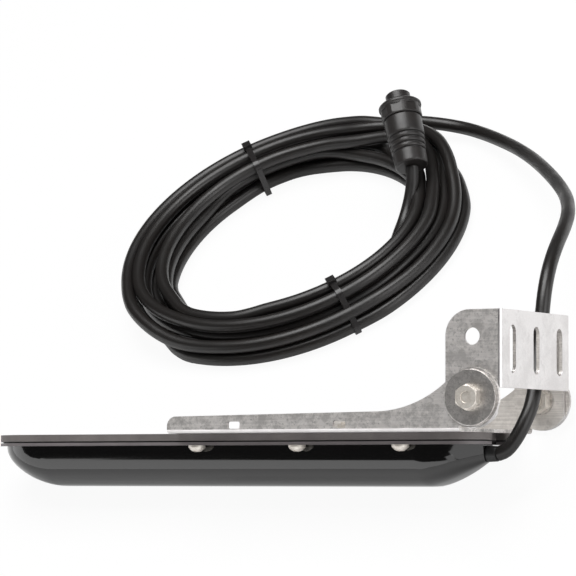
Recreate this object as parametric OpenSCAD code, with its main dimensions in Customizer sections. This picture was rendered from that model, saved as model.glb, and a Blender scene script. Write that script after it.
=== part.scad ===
// Skimmer sonar transducer on a stainless tilt bracket, with its cable wound into a coil.
// The transducer is drawn upright: X runs from the nose to the stern, Y to the far side and
// Z up from the top of the deck. lay() then rolls it onto its far side, as it comes to rest
// on a table, and the cable, the coil and the plug are drawn straight in that lying frame.

/* [Hull] */
// Length of the deck, nose to stern
deck_l = 258; // [240:1:280]
// Width of the deck
deck_w = 52.8; // [50:0.2:60]
// Thickness of the deck plate
deck_t = 3.2; // [2:0.1:5]
// Radius of the deck's stern corners
deck_corner_r = 14; // [8:1:18]
// Thickness of the gasket under the deck
gasket_t = 0.6; // [0.4:0.1:1.2]
// How far the gasket stands back from the deck's edge
gasket_inset = 1.2; // [0.6:0.1:1.6]
// Width of the gasket
gasket_w = 6.4; // [6:0.1:8]
// Thickness of the hull's rim
rim_t = 1.4; // [1:0.1:2]
// Width of the hull below its rim
hull_w = 38; // [36:0.5:38.5]
// Depth of the keel below the top of the deck
keel_depth = 23.7; // [22:0.1:28]
// How boxy the hull's section is: 2 is an ellipse
hull_fullness = 3; // [2.4:0.1:3.6]
// How far the hull's nose stands back from the deck's nose
nose_setback = 1.5; // [1:0.5:4]
// Length of the round of the hull's nose in plan
nose_l = 23; // [16:1:30]
// Length of the rise of the keel at the bow
bow_rise_l = 31; // [24:1:40]
// How far the hull's flat stern face stands back from the deck's stern
stern_setback = 6; // [4:0.5:10]
// Length of the rise of the keel at the stern
stern_rise_l = 25.4; // [20:0.2:30]
// Height of the rise of the keel at the stern
stern_rise_h = 10.8; // [8:0.2:11]
// Length over which the hull draws in at the stern
stern_taper_l = 27; // [18:0.5:32]
// Width of the notch in the stern of the deck and the rim
stern_notch_w = 17; // [12:1:24]

/* [Inside the hull] */
// Hull left between the pocket for the elements and the stern face
stern_wall = 22; // [18:0.5:26]
// Length of the pocket
pocket_l = 188; // [170:1:190]
// Width of the pocket at its mouth
pocket_top_w = 29; // [26:0.5:30]
// Width of the pocket at its floor
pocket_floor_w = 16; // [14:0.5:18]
// Hull left under the pocket
pocket_floor_t = 3; // [2:0.2:4]
// Thickness of a sound element
element_t = 3; // [2:0.2:4]
// Length of a side element
side_element_l = 160; // [120:1:165]
// Length of the down element
down_element_l = 100; // [60:1:150]
// Width of the down element
down_element_w = 7; // [5:0.5:9]
// Thickness of the circuit board
board_t = 1.6; // [1:0.1:2]
// Length of the circuit board
board_l = 120; // [80:1:140]
// Length of the cable anchor
anchor_l = 10; // [6:1:12]
// Radius of the temperature probe
probe_r = 2; // [1:0.1:3]

/* [Base bracket] */
// Thickness of the sheet
sheet_t = 1.6; // [1:0.1:2]
// Inside radius of the base's folds
base_bend_r = 0.3; // [0.2:0.1:1.2]
// Start of the base bracket along the hull
base_x = 109.7; // [104:0.1:110]
// Height of the side walls at their front
base_front_h = 7.6; // [6.5:0.1:8.6]
// Height of the side walls where they sweep up
base_wall_h = 9; // [8.6:0.1:12]
// Radius of the top corner at the front of a wall
base_corner_r = 4.5; // [2:0.5:5]
// Radius of the sweep from the low wall up to the ear
sweep_r = 54; // [40:1:60]
// Where the base's floor ends under the ears
floor_x = 256; // [252:0.5:258]
// Length of a tie slot in the wall
tie_slot_l = 6.4; // [4:0.2:10]
// Height of a tie slot in the wall
tie_slot_h = 3.2; // [2.4:0.1:4]
// Front tie slot, along the hull
tie_slot_x = 144.3; // [125:0.1:150]
// Distance between the tie slots
tie_slot_pitch = 53.4; // [40:0.2:56]

/* [Transom bracket] */
// Inside radius of the transom bracket's folds
bend_r = 0.8; // [0.4:0.1:1.4]
// Width over the ears
transom_w = 71; // [68:0.5:74]
// Outer face of the transom plate, along the hull
transom_x = 275.6; // [275:0.2:280]
// Top of the transom bracket above the deck
transom_top = 52.6; // [50:0.2:60]
// Bottom of the transom plate above the deck
plate_bottom = 18.8; // [17:0.1:22]
// Radius of an ear's upper corner
ear_corner_r = 11.5; // [6:0.5:12]
// Radius of the hole in an ear
ear_hole_r = 3.7; // [3:0.05:4.5]
// Height of that hole above the pivot
ear_hole_h = 26.4; // [22:0.2:27]
// How far that hole is ahead of the pivot
ear_hole_ahead = 0.5; // [0:0.1:2]
// Length of a slot in the transom plate
plate_slot_l = 20.8; // [14:0.2:24]
// Width of a slot in the transom plate
plate_slot_w = 6; // [4:0.1:8]
// Distance between slots
plate_slot_pitch = 24; // [16:0.1:25]

/* [Pivot] */
// Pivot axis along the hull
pivot_x = 262; // [261:0.1:263]
// Height of the pivot axis above the deck
pivot_z = 14.6; // [14.6:0.1:16]
// Radius of an ear's round end
ear_r = 13.2; // [12:0.1:13.4]
// Gap between the ears of the two brackets
ear_gap = 0.2; // [0.1:0.05:0.4]
// Radius of a pivot bolt
pivot_r = 3; // [2.5:0.1:3.5]
// Radial clearance of a pivot bolt in the brackets
pivot_clearance = 0.05; // [0.02:0.01:0.1]
// Width across flats of the bolt heads and nuts
pivot_hex_w = 10; // [9:0.5:12]
// Height of a bolt head
pivot_head_h = 4; // [3:0.2:5]
// Height of a nut
pivot_nut_h = 5; // [4:0.2:6]
// Radius of a large washer
washer_r = 12.2; // [11:0.1:12.4]
// Thickness of a large washer
washer_t = 1.5; // [1:0.1:2]
// Radius of a small washer
small_washer_r = 6.2; // [6:0.1:8]
// Thickness of a small washer
small_washer_t = 1.2; // [0.8:0.1:1.6]
// Gap between the small washers and the ears that turn past them
turning_gap = 0.15; // [0.1:0.05:0.3]

/* [Deck screws] */
// First screw along the hull
screw_x = 116.8; // [114:0.1:119]
// Distance between screws
screw_pitch = 51.8; // [45:0.1:52]
// Distance between the two rows
screw_row_w = 45.4; // [45:0.1:46]
// Radius of a screw's shank
screw_r = 2; // [1.5:0.1:2]
// Radius of a screw's head
screw_head_r = 3.9; // [3:0.05:4]
// Height of a screw's head
screw_head_h = 3.1; // [2:0.1:3.4]
// Height of the straight edge of a screw's head
screw_edge_h = 0.9; // [0.4:0.1:1.2]
// Gap between a screw's head and the hull's side
screw_head_gap = 0.1; // [0.05:0.05:0.3]
// Radius of the pad round a screw in the deck and the rim
screw_pad_r = 3.6; // [3:0.1:3.6]
// Least width of the gasket round a screw
gasket_lip = 0.2; // [0.1:0.05:0.2]
// Radial clearance of a screw in its holes
screw_clearance = 0.25; // [0.1:0.05:0.4]
// Height of a screw's nut
screw_nut_h = 3.2; // [2.4:0.1:4]
// Width across flats of a screw's nut
screw_nut_w = 7; // [6:0.5:8]

/* [Cable] */
// Diameter of the cable
cable_d = 6.4; // [6:0.1:6.6]
// Length of the boot behind the stern face
boot_l = 5; // [4:0.5:6]
// Radius of the boot at its root
boot_root_r = 3.6; // [3.4:0.1:3.6]
// Radius of the gland's shank in the hull
gland_r = 3; // [2.4:0.1:3]
// Height of the gland's axis above the deck, below zero
gland_z = -9.2; // [-9.3:0.1:-8.6]
// Mean radius of the coil
coil_r = 75.8; // [74:0.2:78]
// How much longer than round the coil is, as a share of its radius
coil_stretch = 0.02; // [0:0.005:0.03]
// Distance between turns side by side
coil_column_pitch = 9.2; // [8.6:0.1:9.6]
// Distance between turns one on another
coil_row_pitch = 6.5; // [6.4:0.1:7]
// Thickness of a cable tie
tie_t = 1.1; // [0.8:0.1:1.4]
// Width of a cable tie
tie_w = 3; // [2.5:0.1:5]
// Gap between a tie and the coil
tie_gap = 0.2; // [0.1:0.05:0.4]

/* [Plug] */
// Length of the plug
plug_l = 41; // [38:0.5:46]
// Radius of the plug at its back
plug_back_r = 8.2; // [7:0.1:8.4]
// Radius of the plug's body
plug_body_r = 9.5; // [9:0.1:9.6]
// Radius of the locking collar
collar_r = 10.2; // [10:0.1:10.8]
// Length of the locking collar
collar_l = 8.4; // [7:0.2:10]
// Radius of the plug's barrel
barrel_r = 6.2; // [5:0.1:7]
// Length of the barrel in front of the collar
barrel_l = 6; // [5:0.5:7]
// Depth of the barrel's socket
socket_depth = 5; // [4:0.5:6]
// Wall of the barrel
barrel_wall = 1.1; // [0.8:0.1:1.6]
// Plain length of the body behind its ribs
rib_start = 6.8; // [5:0.2:9]
// Distance between the ribs
rib_pitch = 2.75; // [2.4:0.05:3.2]
// Number of contact pins on the pin circle
pin_count = 8; // [4:1:10]

/* [Hidden] */

$fn = 64;
cut = 1;
sides = [-1, 1];

// Heights of the hull's layers, all below the top of the deck
gasket_z = -deck_t - gasket_t;
rim_z = gasket_z - rim_t;
hull_top = gasket_z - rim_t / 7;
hull_d = keel_depth + hull_top;
pocket_floor = -keel_depth + pocket_floor_t;
stern_x = deck_l - stern_setback;
pocket_end = stern_x - stern_wall;
pocket_x = pocket_end - pocket_l;
gasket_hole_r = screw_r + screw_clearance;

// Widths across the brackets
wall_in = transom_w / 2 + ear_gap;
wall_out = wall_in + sheet_t;
washer_out = wall_out + washer_t;
ear_in = transom_w / 2 - sheet_t;
base_end = pivot_x + ear_r;
bore_r = pivot_r + pivot_clearance;

// How the transducer lies: the hull's side and the far washer's rim both touch the table
support_power = hull_fullness / (hull_fullness - 1);
function hull_reach(a) =
  pow(pow(hull_w / 2 * sin(a), support_power) + pow(hull_d * cos(a), support_power), 1 / support_power)
  - hull_top * cos(a);
function washer_reach(a) = washer_out * sin(a) - (pivot_z - washer_r) * cos(a);
function balance(low, high, steps) =
  let (mid = (low + high) / 2)
  steps == 0 ? mid
  : washer_reach(mid) < hull_reach(mid) ? balance(mid, high, steps - 1)
  : balance(low, mid, steps - 1);
roll = balance(5, 85, 40);
far_y = transom_w / 2 * cos(roll) + transom_top * sin(roll);
near_y = -washer_out * cos(roll) + (pivot_z - washer_r) * sin(roll);
lie = [-max(transom_x, base_end) / 2, -(far_y + near_y) / 2, hull_reach(roll)];
function laid(p) = lie + [
  p[0],
  p[1] * cos(roll) + p[2] * sin(roll),
  -p[1] * sin(roll) + p[2] * cos(roll)
];

// The hull's stations, close together where its shape turns
hull_nose = nose_setback;
section_steps = 24;
bow_steps = 14;
stern_steps = 12;
stern_l = max(stern_rise_l, stern_taper_l);
stations = concat(
  [for (i = [1:bow_steps]) hull_nose + bow_rise_l * pow(i / bow_steps, 1.7)],
  [for (i = [0:stern_steps]) stern_x - stern_l * (1 - i / stern_steps)]
);
bow_power = 1.6;
stern_power = 1.36;
stern_taper = 0.75;
function rise(t, power) = pow(1 - pow(t, power), 1 / power);
function half_width(x) =
  x < hull_nose + nose_l ? hull_w / 2 * rise((hull_nose + nose_l - x) / nose_l, 2)
  : x > stern_x - stern_taper_l
    ? hull_w / 2 * (1 - stern_taper * pow((x - stern_x + stern_taper_l) / stern_taper_l, 2))
  : hull_w / 2;
function depth_at(x) =
  x < hull_nose + bow_rise_l ? hull_d * rise((hull_nose + bow_rise_l - x) / bow_rise_l, bow_power)
  : x > stern_x - stern_rise_l
    ? hull_d - stern_rise_h * pow((x - stern_x + stern_rise_l) / stern_rise_l, stern_power)
  : hull_d;
function bulge(v) = sign(v) * pow(abs(v), 2 / hull_fullness);
function section(x) = [
  for (k = [0:section_steps])
    let (a = 180 * k / section_steps)
    [x, half_width(x) * bulge(cos(a)), hull_top - depth_at(x) * bulge(sin(a))]
];

// Faces of a tube of closed rings, each ring with the same number of points
function skin(rings, count) = concat(
  [[for (k = [count - 1:-1:0]) k]],
  [for (i = [0:rings - 2], k = [0:count - 1])
    let (a = i * count + k, b = i * count + (k + 1) % count)
    [a, b, b + count, a + count]],
  [[for (k = [0:count - 1]) (rings - 1) * count + k]]
);

// The cable's free run, in the lying frame: through the bracket, over the table, onto the coil
gland_end = laid([stern_x + boot_l, 0, gland_z]);
lead_points = concat([gland_end], [
  [123.2, -22.4, 19], [127, -18.6, 21.8], [130, -12.2, 25.2], [131.4, -3, 28],
  [130, 9.2, 30.8], [128.6, 18.9, 34.5], [128, 28.7, 39.1], [128, 37.6, 44.6], [127.8, 46.8, 50],
  [127, 57, 53], [125.2, 69.1, 53], [122.9, 82.4, 51], [120, 96.9, 47.6], [114.9, 114.1, 42.8],
  [106.5, 132.1, 37.2], [95.4, 149.6, 31.4], [80.9, 169.1, 25], [64.5, 188.7, 18.8],
  [48.6, 205.1, 13.6], [34.2, 217.6, 9.8], [21.2, 227.1, 7.4], [9.5, 233.6, 6.4],
  [-0.2, 236.2, 7.2], [-8.7, 236.3, 9.2], [-16.4, 234.8, 11.8], [-24.2, 232.1, 14.6],
  [-32.2, 229.2, 16], [-40.1, 227.4, 16.4]
]);
tail_points = [
  [9, 126, 11], [6.4, 134.4, 11.1], [5, 142.4, 11.3], [4.5, 150.2, 11.8], [4.7, 156, 13.4],
  [5.4, 161, 16.2], [6.2, 165.6, 19.8], [6.6, 170, 23.8], [6, 175, 28.4]
];
plug_back = tail_points[len(tail_points) - 1];
plug_turn = 112;
plug_lift = 30;

// The coil's section: three turns at the foot, one nested between two at the outside, and two on
// top. A seat is a turn's middle, from the coil's middle and from its foot.
coil_centre = [-54.8, 144.3];
coil_z = tie_t + tie_gap;
function coil_round(a) = 1 + coil_stretch * sin(2 * a);
function seat(column, row) = [
  coil_r + column * coil_column_pitch,
  cable_d / 2 + row * coil_row_pitch
];
coil_seats = [seat(-1, 0), seat(1, 0), seat(0.5, 1), seat(0, 2), seat(-1, 2)];
lead_seat = seat(1, 2);

// Each tie's angle round the coil, the seats that it binds and the share of its top at its head
coil_ties_at = [[127.8, concat(coil_seats, [lead_seat]), 0.86], [-47.6, coil_seats, 0.08]];
cable_sides = 10;

// Rings of a tube along points, each ring square to the run through its neighbours
function along(points, i) =
  let (
    a = points[max(i - 1, 0)],
    b = points[min(i + 1, len(points) - 1)]
  ) (b - a) / norm(b - a);
function ring(centre, way, r) =
  let (
    side = cross(way, [0, 0, 1]),
    across = side / norm(side),
    up = cross(across, way)
  ) [for (k = [0:cable_sides - 1])
      let (a = 360 * k / cable_sides) centre + r * (cos(a) * across + sin(a) * up)];

module tube(points, d) {
  rings = [for (i = [0:len(points) - 1]) each ring(points[i], along(points, i), d / 2)];
  polyhedron(rings, skin(len(points), cable_sides), convexity = 6);
}

// Points of an arc from one angle to another
arc_steps = 24;
function arc(centre, r, from, to) = [
  for (i = [0:arc_steps])
    let (a = from + (to - from) * i / arc_steps) centre + r * [cos(a), sin(a)]
];

// Puts an upright shape into the lying frame
module lay() { translate(lie) rotate([-roll, 0, 0]) children(); }

// Extrudes a profile of Y and Z along X
module along_x(x, l) { translate([x, 0, 0]) rotate([90, 0, 90]) linear_extrude(l) children(); }

// Extrudes a profile of X and Z across Y, from -w/2 to w/2
module across_y(w) { translate([0, w / 2, 0]) rotate([90, 0, 0]) linear_extrude(w) children(); }

// A round bar along Y, from y0 to y1, at a place in X and Z
module bar_y(x, z, r, y0, y1) {
  translate([x, y0, z]) rotate([-90, 0, 0]) cylinder(h = y1 - y0, r = r);
}

// A hexagonal bar along Y, with its corners up and down
module hex_y(x, z, w, y0, y1) {
  translate([x, y0, z]) rotate([-90, 30, 0]) cylinder(h = y1 - y0, d = w / cos(30), $fn = 6);
}

// Places its children at the six deck screws
module at_screws() {
  for (i = [0:2], s = sides)
    translate([screw_x + i * screw_pitch, s * screw_row_w / 2, 0]) children();
}

// Plan of the deck, drawn in by an inset: a round nose and round stern corners
module deck_outline(inset) {
  r = deck_w / 2 - inset;
  corner = deck_corner_r - inset;
  end = deck_l - inset;
  translate([deck_w / 2, 0]) circle(r);
  translate([deck_w / 2, -r]) square([end - corner - deck_w / 2, 2 * r]);
  translate([end - corner - cut, -r + corner]) square([corner + cut, 2 * (r - corner)]);
  for (s = sides) translate([end - corner, s * (r - corner)]) circle(corner);
}

// Plan of the deck and the rim, with a pad round each screw
module deck_plan() {
  deck_outline(0);
  at_screws() circle(screw_pad_r);
}

module stern_notch() {
  translate([stern_x, -stern_notch_w / 2]) square([deck_l, stern_notch_w]);
}

module pocket_profile(inset) {
  polygon([
    [-pocket_top_w / 2 + inset, cut], [-pocket_top_w / 2 + inset, gasket_z],
    [-pocket_floor_w / 2 + inset, pocket_floor], [pocket_floor_w / 2 - inset, pocket_floor],
    [pocket_top_w / 2 - inset, gasket_z], [pocket_top_w / 2 - inset, cut]
  ]);
}

module hull_shell() {
  color([0.02, 0.02, 0.022]) lay() difference() {
    union() {
      polyhedron([for (x = stations) each section(x)], skin(len(stations), section_steps + 1), convexity = 4);
      translate([0, 0, rim_z]) linear_extrude(rim_t) difference() {
        deck_plan();
        stern_notch();
      }
    }
    along_x(pocket_x, pocket_l) pocket_profile(0);
    translate([0, 0, gland_z]) rotate([0, 90, 0]) translate([0, 0, pocket_end - cut])
      cylinder(h = stern_x - pocket_end + 2 * cut, r = gland_r);
    at_screws() {
      translate([0, 0, rim_z - cut]) cylinder(h = rim_t + 2 * cut, r = gasket_hole_r);
      translate([0, 0, rim_z - keel_depth]) cylinder(h = keel_depth, r = screw_head_r + screw_head_gap);
    }
  }
}

module deck_gasket() {
  color([0.05, 0.05, 0.05]) lay() translate([0, 0, gasket_z]) linear_extrude(gasket_t) difference() {
    union() {
      difference() {
        deck_outline(gasket_inset);
        deck_outline(gasket_inset + gasket_w);
      }
      at_screws() circle(gasket_hole_r + gasket_lip);
    }
    stern_notch();
    at_screws() circle(gasket_hole_r);
  }
}

module deck_plate() {
  color([0.16, 0.155, 0.15]) lay() translate([0, 0, -deck_t]) linear_extrude(deck_t) difference() {
    deck_plan();
    stern_notch();
    at_screws() circle(gasket_hole_r);
  }
}

// Places along the pocket, and heights of what is stacked in it
carrier_x = pocket_x + 4;
carrier_l = pocket_l - anchor_l - 14;
carrier_floor = pocket_floor + element_t;
carrier_top = (pocket_floor + gasket_z) / 2;
element_seat = 0.1;
wall_lean = atan2((pocket_top_w - pocket_floor_w) / 2, gasket_z - pocket_floor);
element_inset = (element_t + 2 * element_seat) / cos(wall_lean);

module element_carrier() {
  color([0.35, 0.3, 0.22]) lay() along_x(carrier_x, carrier_l) intersection() {
    pocket_profile(element_inset);
    translate([-pocket_top_w / 2, carrier_floor]) square([pocket_top_w, carrier_top - carrier_floor]);
  }
}

// A bar that leans on one slanted wall of the pocket, as tall as the carrier
module side_element(side) {
  lay() along_x(carrier_x + (carrier_l - side_element_l) / 2, side_element_l) intersection() {
    difference() {
      pocket_profile(element_seat);
      pocket_profile(element_inset - element_seat);
    }
    translate([side > 0 ? 0 : -pocket_top_w, carrier_floor])
      square([pocket_top_w, carrier_top - carrier_floor]);
  }
}

module port_element() { color([0.75, 0.72, 0.62]) side_element(-1); }

module starboard_element() { color([0.75, 0.72, 0.62]) side_element(1); }

module down_element() {
  color([0.75, 0.72, 0.62]) lay()
    translate([carrier_x + (carrier_l - down_element_l) / 2, -down_element_w / 2, pocket_floor])
      cube([down_element_l, down_element_w, element_t]);
}

// The board lies on the carrier, and its leads run back along it to the cable anchor
board_x = carrier_x + carrier_l - board_l;
board_w = pocket_floor_w;
board_top = carrier_top + board_t;
chip_h = 1.8;
chip_l = 12;
chip_pitch = 26;
lead_d = 1.3;
lead_overlap = 16;

module signal_board() {
  color([0.05, 0.25, 0.12]) lay() {
    translate([board_x, -board_w / 2, carrier_top]) cube([board_l, board_w, board_t]);
    for (i = [0:2])
      translate([board_x + 6 + i * chip_pitch, -board_w / 4, board_top - board_t / 2])
        cube([chip_l, board_w / 2, chip_h + board_t / 2]);
  }
}

module signal_leads() {
  start = carrier_x + carrier_l - lead_overlap;
  color([0.6, 0.1, 0.08]) lay() for (i = [-1:1])
    translate([start, i * 2 * lead_d, board_top + lead_d / 2])
      rotate([0, 90, 0]) cylinder(h = pocket_end - anchor_l - start, d = lead_d, $fn = 24);
}

module cable_anchor() {
  color([0.1, 0.1, 0.1]) lay()
    translate([pocket_end - anchor_l, -board_w / 2, pocket_floor])
      cube([anchor_l, board_w, board_top + 2 * lead_d - pocket_floor]);
}

module temperature_probe() {
  color([0.7, 0.55, 0.2]) lay()
    translate([pocket_end - anchor_l - 2 * probe_r, 0, pocket_floor])
      cylinder(h = carrier_top - pocket_floor, r = probe_r);
}

module cable_gland() {
  tip_r = cable_d / 2 + 0.2;
  color([0.03, 0.03, 0.03]) lay() translate([0, 0, gland_z]) rotate([0, 90, 0]) rotate_extrude()
    polygon([
      [0, pocket_end], [gland_r, pocket_end], [gland_r, stern_x], [boot_root_r, stern_x],
      [boot_root_r, stern_x + boot_l / 4], [tip_r, stern_x + boot_l], [0, stern_x + boot_l]
    ]);
}

// A flat-bottomed cup, open at the top, with round lower corners
module cup(half, floor_z, r, top) {
  translate([-half + r, floor_z]) square([2 * (half - r), top - floor_z]);
  translate([-half, floor_z + r]) square([2 * half, top - floor_z - r]);
  for (s = sides) translate([s * (half - r), floor_z + r]) circle(r);
}

// Section of a folded sheet: a floor and two walls
module channel(half, h, inside_r) {
  difference() {
    cup(half, 0, inside_r + sheet_t, h);
    cup(half - sheet_t, sheet_t, inside_r, h + cut);
  }
}

// Side view of the base, as one outline: the low wall, the sweep that runs into the round ear,
// and the ear's underside, back to the end of the floor
module base_side() {
  ear_centre = [pivot_x, pivot_z];
  sweep_h = base_wall_h + sweep_r - pivot_z;
  sweep_turn = acos(sweep_h / (sweep_r + ear_r));
  sweep_centre = [pivot_x - (sweep_r + ear_r) * sin(sweep_turn), base_wall_h + sweep_r];
  floor_turn = acos(min((pivot_x - floor_x) / ear_r, 1));
  polygon(concat(
    [[base_x, 0]],
    arc([base_x + base_corner_r, base_front_h - base_corner_r], base_corner_r, 180, 90),
    arc(sweep_centre, sweep_r, -90, sweep_turn - 90),
    arc(ear_centre, ear_r, 90 + sweep_turn, floor_turn - 180),
    [[floor_x, 0]]
  ));
}

module base_bracket() {
  slot_z = sheet_t + tie_slot_h / 2 + 0.3;
  slot_r = tie_slot_h / 4;
  color([0.62, 0.6, 0.57]) lay() difference() {
    intersection() {
      along_x(base_x, base_end - base_x) channel(wall_out, pivot_z + ear_r, base_bend_r);
      across_y(2 * wall_out + cut) base_side();
    }
    translate([floor_x, -wall_in, -cut]) cube([base_end - floor_x + cut, 2 * wall_in, pivot_z]);
    bar_y(pivot_x, pivot_z, bore_r, -wall_out - cut, wall_out + cut);
    for (i = [0, 1]) translate([tie_slot_x + i * tie_slot_pitch, 0, slot_z]) across_y(2 * wall_out + cut) {
      square([tie_slot_l - 2 * slot_r, tie_slot_h], center = true);
      square([tie_slot_l, tie_slot_h - 2 * slot_r], center = true);
      for (sx = sides, sz = sides)
        translate([sx * (tie_slot_l / 2 - slot_r), sz * (tie_slot_h / 2 - slot_r)]) circle(slot_r);
    }
    at_screws() translate([0, 0, -cut]) cylinder(h = sheet_t + 2 * cut, r = gasket_hole_r);
  }
}

// Side view of the transom bracket, as one outline: round at the pivot, with one round upper
// corner, and cut back from the fold under the plate
module transom_side() {
  front = pivot_x - ear_r;
  relief = min(transom_x - sheet_t - bend_r - pivot_x, ear_r);
  relief_turn = acos(relief / ear_r);
  corner_centre = [front + ear_corner_r, transom_top - ear_corner_r];
  polygon(concat(
    arc([pivot_x, pivot_z], ear_r, 180, 360 - relief_turn),
    [[pivot_x + relief, plate_bottom], [transom_x, plate_bottom], [transom_x, transom_top]],
    arc(corner_centre, ear_corner_r, 90, 180)
  ));
}

module transom_bracket() {
  slot_mid = (plate_bottom + transom_top) / 2;
  slot_r = plate_slot_w / 2;
  color([0.66, 0.65, 0.63]) lay() difference() {
    intersection() {
      linear_extrude(transom_top + cut) translate([transom_x, 0]) rotate(90)
        channel(transom_w / 2, transom_x - pivot_x + ear_r, bend_r);
      across_y(transom_w + cut) transom_side();
    }
    bar_y(pivot_x, pivot_z, bore_r, -wall_out, wall_out);
    bar_y(pivot_x - ear_hole_ahead, pivot_z + ear_hole_h, ear_hole_r, -wall_out, wall_out);
    for (i = [-1:1]) along_x(transom_x - sheet_t - cut, sheet_t + 2 * cut)
      translate([i * plate_slot_pitch, slot_mid]) {
        square([plate_slot_w, plate_slot_l - plate_slot_w], center = true);
        for (s = sides) translate([0, s * (plate_slot_l / 2 - slot_r)]) circle(slot_r);
      }
  }
}

// Stack on each pivot bolt, from the inside of the ear towards the middle
small_washer_in = ear_in - turning_gap - small_washer_t;
nut_in = small_washer_in - pivot_nut_h;
bolt_end = nut_in - 1;

// Draws its children on both sides, mirrored
module both_sides() {
  for (s = [0, 1]) mirror([0, s, 0]) children();
}

module pivot_bolts() {
  dimple_r = pivot_hex_w / 4;
  dimple_depth = 0.5;
  head_end = washer_out + pivot_head_h;
  color([0.72, 0.7, 0.66]) lay() both_sides() {
    difference() {
      intersection() {
        hex_y(pivot_x, pivot_z, pivot_hex_w, washer_out, head_end);
        translate([pivot_x, washer_out, pivot_z]) rotate([-90, 0, 0])
          cylinder(h = pivot_head_h, r1 = pivot_hex_w, r2 = pivot_hex_w / 2 - 0.1);
      }
      bar_y(pivot_x, pivot_z, dimple_r, head_end - dimple_depth, head_end + cut);
    }
    bar_y(pivot_x, pivot_z, pivot_r, bolt_end, washer_out + cut);
  }
}

// A flat ring around the pivot axis
module pivot_ring(r, y0, y1) {
  difference() {
    bar_y(pivot_x, pivot_z, r, y0, y1);
    bar_y(pivot_x, pivot_z, bore_r, y0 - cut, y1 + cut);
  }
}

module pivot_washers() {
  color([0.5, 0.5, 0.5]) lay() both_sides() pivot_ring(washer_r, wall_out, washer_out);
}

module small_washers() {
  color([0.6, 0.6, 0.6]) lay() both_sides()
    pivot_ring(small_washer_r, small_washer_in, small_washer_in + small_washer_t);
}

module pivot_nuts() {
  color([0.7, 0.69, 0.66]) lay() both_sides() difference() {
    hex_y(pivot_x, pivot_z, pivot_hex_w, nut_in, small_washer_in);
    bar_y(pivot_x, pivot_z, bore_r, nut_in - cut, small_washer_in + cut);
  }
}

module deck_screws() {
  dome_h = screw_head_h - screw_edge_h;
  dome_r = (pow(screw_head_r, 2) + pow(dome_h, 2)) / (2 * dome_h);
  recess_w = 1.1;
  recess_l = screw_head_r * 1.1;
  recess_depth = 1.4;
  color([0.78, 0.76, 0.7]) lay() at_screws() translate([0, 0, rim_z]) difference() {
    union() {
      intersection() {
        translate([0, 0, -screw_head_h]) cylinder(h = screw_head_h, r = screw_head_r);
        translate([0, 0, dome_r - screw_head_h]) sphere(dome_r);
      }
      translate([0, 0, -cut]) cylinder(h = cut - rim_z + sheet_t + screw_nut_h + screw_r / 2, r = screw_r);
    }
    for (a = [0, 90]) rotate([0, 0, a]) translate([0, 0, -screw_head_h + recess_depth / 2 - cut / 2])
      cube([recess_l, recess_w, recess_depth + cut], center = true);
  }
}

module deck_nuts() {
  color([0.72, 0.7, 0.66]) lay() at_screws() translate([0, 0, sheet_t]) difference() {
    cylinder(h = screw_nut_h, d = screw_nut_w / cos(30), $fn = 6);
    translate([0, 0, -cut]) cylinder(h = screw_nut_h + 2 * cut, r = screw_r + pivot_clearance);
  }
}

module lead_cable() { color([0.05, 0.05, 0.05]) tube(lead_points, cable_d); }

module tail_cable() { color([0.05, 0.05, 0.05]) tube(tail_points, cable_d); }

// Outline round the turns at some seats, let out by a margin
module bundle(seats, margin) {
  hull() for (s = seats) translate(s) circle(cable_d / 2 + margin, $fn = 24);
}

module cable_coil() {
  color([0.05, 0.05, 0.05]) translate([coil_centre[0], coil_centre[1], coil_z])
    rotate(45) scale([1 + coil_stretch, 1 - coil_stretch, 1]) rotate_extrude($fn = 72) bundle(coil_seats, 0);
}

// Two ties round the coil's section, each with a small head on top
module coil_ties() {
  head = [4.4, 4.4, 2.2];
  color([0.06, 0.06, 0.06]) for (tie = coil_ties_at)
    translate([coil_centre[0], coil_centre[1], coil_z]) rotate(tie[0])
      translate([coil_r * (coil_round(tie[0]) - 1), 0, 0]) {
        across_y(tie_w) difference() {
          bundle(tie[1], tie_gap + tie_t);
          bundle(tie[1], tie_gap);
        }
        translate([
          coil_r + (2 * tie[2] - 1) * coil_column_pitch - head[0] / 2,
          -head[1] / 2,
          seat(0, 2)[1] + cable_d / 2 + tie_gap + tie_t / 2
        ]) cube(head);
      }
}

// Puts a shape that is drawn along Z, from the plug's back to its tip, on the coil
module plug_place() {
  translate(plug_back) rotate([0, 90 - plug_lift, plug_turn]) children();
}

// Lengths along the plug
collar_start = plug_l - barrel_l - collar_l;
rib_count = 4;
collar_bore_r = barrel_r + 0.2;

module plug_body() {
  groove = 0.8;
  neck_r = plug_back_r + 0.3;
  shoulder = collar_start - 1;
  color([0.07, 0.068, 0.066]) plug_place() difference() {
    rotate_extrude() polygon(concat(
      [[0, 0], [plug_back_r - 0.6, 0], [plug_back_r, 0.6]],
      [for (i = [0:rib_count - 1], v = [[0, 0], [0.08, -groove], [0.36, -groove], [0.44, 0]])
        [neck_r + (plug_body_r - neck_r) * i / rib_count + v[1], rib_start + (i + v[0]) * rib_pitch]],
      [[plug_body_r, rib_start + rib_count * rib_pitch], [plug_body_r, shoulder],
       [plug_body_r - 0.4, collar_start], [0, collar_start]]
    ));
    translate([0, 0, collar_start - 2]) cylinder(h = 2 + cut, r = collar_bore_r);
  }
}

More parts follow.
